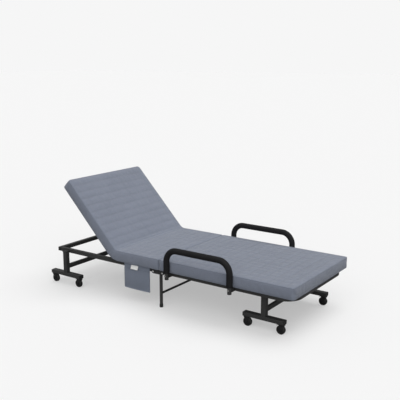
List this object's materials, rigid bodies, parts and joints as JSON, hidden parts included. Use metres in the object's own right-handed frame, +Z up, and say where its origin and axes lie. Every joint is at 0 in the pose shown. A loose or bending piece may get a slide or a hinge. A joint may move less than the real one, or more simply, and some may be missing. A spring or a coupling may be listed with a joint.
{
  "type": "folding cot",
  "caption": "Folding guest cot with quilted split mattress, reclining backrest, foam armrests and legs on swivel casters.",
  "frame": {"origin": "middle of the open cot's bounding box, on the floor", "axes": "+X to the foot end, +Y to the lying person's left, +Z up"},
  "size_m": [1.8555, 0.797, 0.7286],
  "materials": {
    "black_frame": "satin powder coat",
    "black_hardware": "satin powder coat on pressed plate",
    "bolt_steel": "bright plated",
    "cap_plastic": "moulded, fine grain",
    "caster_plastic": "moulded, fine grain",
    "wheel_rubber": "matte tread",
    "foot_rubber": "matte",
    "grip_foam": "soft closed-cell foam",
    "mattress_fabric": "woven, channel quilted",
    "pocket_fabric": "woven",
    "sling_fabric": "woven, coarse"
  },
  "bodies": {
    "foot_legs": {"foot_leg_left": "black_frame", "foot_leg_right": "black_frame", "foot_crossbar": "black_frame", "foot_t_bar_caps": "cap_plastic"},
    "foot_links": {"foot_swing_links": "black_hardware"},
    "foot_half": {"foot_frame": "black_frame", "foot_sling": "sling_fabric", "foot_mattress": "mattress_fabric", "armrest_tube_left": "black_frame", "armrest_tube_right": "black_frame", "armrest_foam_left": "grip_foam", "armrest_foam_right": "grip_foam", "armrest_spacers": "black_frame", "armrest_bolts": "bolt_steel", "armrest_caps": "cap_plastic"},
    "centre_section": {"centre_bracket_left": "black_hardware", "centre_bracket_right": "black_hardware", "centre_leg_left": "black_frame", "centre_leg_right": "black_frame", "centre_leg_rod": "black_frame", "centre_leg_rubber_feet": "foot_rubber"},
    "head_half": {"head_rail_left": "black_frame", "head_rail_right": "black_frame", "head_end_bar": "black_frame", "head_end_bar_caps": "cap_plastic", "seat_cross_tubes": "black_frame", "recliner_bodies": "black_hardware", "seat_sling": "sling_fabric", "seat_mattress": "mattress_fabric"},
    "pocket": {"storage_pocket": "pocket_fabric"},
    "backrest": {"backrest_frame": "black_frame", "recliner_arms": "black_hardware", "backrest_sling": "sling_fabric", "backrest_mattress": "mattress_fabric"},
    "head_links": {"head_swing_links": "black_hardware"},
    "head_legs": {"head_leg_left": "black_frame", "head_leg_right": "black_frame", "head_crossbar": "black_frame", "head_t_bar_caps": "cap_plastic"},
    "foot_left_inner_caster": {"foot_left_inner_caster_fork": "caster_plastic"},
    "foot_left_inner_caster_wheel": {"foot_left_inner_caster_wheel": "wheel_rubber"},
    "foot_left_outer_caster": {"foot_left_outer_caster_fork": "caster_plastic"},
    "foot_left_outer_caster_wheel": {"foot_left_outer_caster_wheel": "wheel_rubber"},
    "foot_left_outer_caster_brake": {"foot_left_outer_caster_brake_lever": "caster_plastic"},
    "foot_right_inner_caster": {"foot_right_inner_caster_fork": "caster_plastic"},
    "foot_right_inner_caster_wheel": {"foot_right_inner_caster_wheel": "wheel_rubber"},
    "foot_right_outer_caster": {"foot_right_outer_caster_fork": "caster_plastic"},
    "foot_right_outer_caster_wheel": {"foot_right_outer_caster_wheel": "wheel_rubber"},
    "foot_right_outer_caster_brake": {"foot_right_outer_caster_brake_lever": "caster_plastic"},
    "head_left_outer_caster": {"head_left_outer_caster_fork": "caster_plastic"},
    "head_left_outer_caster_wheel": {"head_left_outer_caster_wheel": "wheel_rubber"},
    "head_left_inner_caster": {"head_left_inner_caster_fork": "caster_plastic"},
    "head_left_inner_caster_wheel": {"head_left_inner_caster_wheel": "wheel_rubber"},
    "head_left_inner_caster_brake": {"head_left_inner_caster_brake_lever": "caster_plastic"},
    "head_right_outer_caster": {"head_right_outer_caster_fork": "caster_plastic"},
    "head_right_outer_caster_wheel": {"head_right_outer_caster_wheel": "wheel_rubber"},
    "head_right_inner_caster": {"head_right_inner_caster_fork": "caster_plastic"},
    "head_right_inner_caster_wheel": {"head_right_inner_caster_wheel": "wheel_rubber"},
    "head_right_inner_caster_brake": {"head_right_inner_caster_brake_lever": "caster_plastic"}
  },
  "joints": [
    {"name": "fold", "type": "hinge", "parent": "foot_legs", "child": "foot_links", "pos_m": [0.7265, 0, 0.226], "axis": [0, -1, 0], "range_deg": [0, 90]},
    {"name": "foot_frame_pivot", "type": "hinge", "parent": "foot_links", "child": "foot_half", "pos_m": [0.7835, 0, 0.226], "axis": [0, 1, 0], "range_deg": [0, 180]},
    {"name": "foot_centre_pivot", "type": "hinge", "parent": "foot_half", "child": "centre_section", "pos_m": [0.023, 0, 0.226], "axis": [0, -1, 0], "range_deg": [0, 90]},
    {"name": "head_centre_pivot", "type": "hinge", "parent": "centre_section", "child": "head_half", "pos_m": [-0.049, 0, 0.226], "axis": [0, -1, 0], "range_deg": [0, 90]},
    {"name": "head_frame_pivot", "type": "hinge", "parent": "head_half", "child": "head_links", "pos_m": [-0.8415, 0, 0.226], "axis": [0, 1, 0], "range_deg": [0, 180]},
    {"name": "head_leg_pivot", "type": "hinge", "parent": "head_links", "child": "head_legs", "pos_m": [-0.8165, 0, 0.226], "axis": [0, -1, 0], "range_deg": [0, 90]},
    {"name": "recline", "type": "hinge", "parent": "head_half", "child": "backrest", "pos_m": [-0.3815, 0, 0.2325], "axis": [0, -1, 0], "range_deg": [-24, 46]},
    {"name": "pocket_swing", "type": "hinge", "parent": "head_half", "child": "pocket", "pos_m": [-0.1775, -0.347, 0.242], "axis": [-1, 0, 0], "range_deg": [0, 65]},
    {"name": "foot_left_inner_caster_swivel", "type": "hinge", "parent": "foot_legs", "child": "foot_left_inner_caster", "pos_m": [0.582, 0.277, 0.06], "axis": [0, 0, 1], "continuous": true},
    {"name": "foot_left_inner_caster_spin", "type": "hinge", "parent": "foot_left_inner_caster", "child": "foot_left_inner_caster_wheel", "pos_m": [0.595, 0.277, 0.027], "axis": [0, 1, 0], "continuous": true},
    {"name": "foot_left_outer_caster_swivel", "type": "hinge", "parent": "foot_legs", "child": "foot_left_outer_caster", "pos_m": [0.825, 0.277, 0.06], "axis": [0, 0, 1], "continuous": true},
    {"name": "foot_left_outer_caster_spin", "type": "hinge", "parent": "foot_left_outer_caster", "child": "foot_left_outer_caster_wheel", "pos_m": [0.812, 0.277, 0.027], "axis": [0, 1, 0], "continuous": true},
    {"name": "foot_left_outer_caster_brake", "type": "hinge", "parent": "foot_left_outer_caster", "child": "foot_left_outer_caster_brake", "pos_m": [0.8005, 0.277, 0.057], "axis": [0, -1, 0], "range_deg": [0, 12]},
    {"name": "foot_right_inner_caster_swivel", "type": "hinge", "parent": "foot_legs", "child": "foot_right_inner_caster", "pos_m": [0.582, -0.277, 0.06], "axis": [0, 0, 1], "continuous": true},
    {"name": "foot_right_inner_caster_spin", "type": "hinge", "parent": "foot_right_inner_caster", "child": "foot_right_inner_caster_wheel", "pos_m": [0.595, -0.277, 0.027], "axis": [0, 1, 0], "continuous": true},
    {"name": "foot_right_outer_caster_swivel", "type": "hinge", "parent": "foot_legs", "child": "foot_right_outer_caster", "pos_m": [0.825, -0.277, 0.06], "axis": [0, 0, 1], "continuous": true},
    {"name": "foot_right_outer_caster_spin", "type": "hinge", "parent": "foot_right_outer_caster", "child": "foot_right_outer_caster_wheel", "pos_m": [0.812, -0.277, 0.027], "axis": [0, 1, 0], "continuous": true},
    {"name": "foot_right_outer_caster_brake", "type": "hinge", "parent": "foot_right_outer_caster", "child": "foot_right_outer_caster_brake", "pos_m": [0.8005, -0.277, 0.057], "axis": [0, -1, 0], "range_deg": [0, 12]},
    {"name": "head_left_outer_caster_swivel", "type": "hinge", "parent": "head_legs", "child": "head_left_outer_caster", "pos_m": [-0.915, 0.358, 0.06], "axis": [0, 0, 1], "continuous": true},
    {"name": "head_left_outer_caster_spin", "type": "hinge", "parent": "head_left_outer_caster", "child": "head_left_outer_caster_wheel", "pos_m": [-0.902, 0.358, 0.027], "axis": [0, 1, 0], "continuous": true},
    {"name": "head_left_inner_caster_swivel", "type": "hinge", "parent": "head_legs", "child": "head_left_inner_caster", "pos_m": [-0.672, 0.358, 0.06], "axis": [0, 0, 1], "continuous": true},
    {"name": "head_left_inner_caster_spin", "type": "hinge", "parent": "head_left_inner_caster", "child": "head_left_inner_caster_wheel", "pos_m": [-0.685, 0.358, 0.027], "axis": [0, 1, 0], "continuous": true},
    {"name": "head_left_inner_caster_brake", "type": "hinge", "parent": "head_left_inner_caster", "child": "head_left_inner_caster_brake", "pos_m": [-0.6965, 0.358, 0.057], "axis": [0, -1, 0], "range_deg": [0, 12]},
    {"name": "head_right_outer_caster_swivel", "type": "hinge", "parent": "head_legs", "child": "head_right_outer_caster", "pos_m": [-0.915, -0.358, 0.06], "axis": [0, 0, 1], "continuous": true},
    {"name": "head_right_outer_caster_spin", "type": "hinge", "parent": "head_right_outer_caster", "child": "head_right_outer_caster_wheel", "pos_m": [-0.902, -0.358, 0.027], "axis": [0, 1, 0], "continuous": true},
    {"name": "head_right_inner_caster_swivel", "type": "hinge", "parent": "head_legs", "child": "head_right_inner_caster", "pos_m": [-0.672, -0.358, 0.06], "axis": [0, 0, 1], "continuous": true},
    {"name": "head_right_inner_caster_spin", "type": "hinge", "parent": "head_right_inner_caster", "child": "head_right_inner_caster_wheel", "pos_m": [-0.685, -0.358, 0.027], "axis": [0, 1, 0], "continuous": true},
    {"name": "head_right_inner_caster_brake", "type": "hinge", "parent": "head_right_inner_caster", "child": "head_right_inner_caster_brake", "pos_m": [-0.6965, -0.358, 0.057], "axis": [0, -1, 0], "range_deg": [0, 12]}
  ],
  "couplings": [
    {"joint": "fold", "follows": "foot_frame_pivot", "ratio": 0.5},
    {"joint": "foot_centre_pivot", "follows": "foot_frame_pivot", "ratio": 0.5},
    {"joint": "head_centre_pivot", "follows": "foot_frame_pivot", "ratio": 0.5},
    {"joint": "head_frame_pivot", "follows": "foot_frame_pivot", "ratio": 1},
    {"joint": "head_leg_pivot", "follows": "foot_frame_pivot", "ratio": 0.5},
    {"joint": "pocket_swing", "follows": "foot_frame_pivot", "ratio": 0.361}
  ]
}
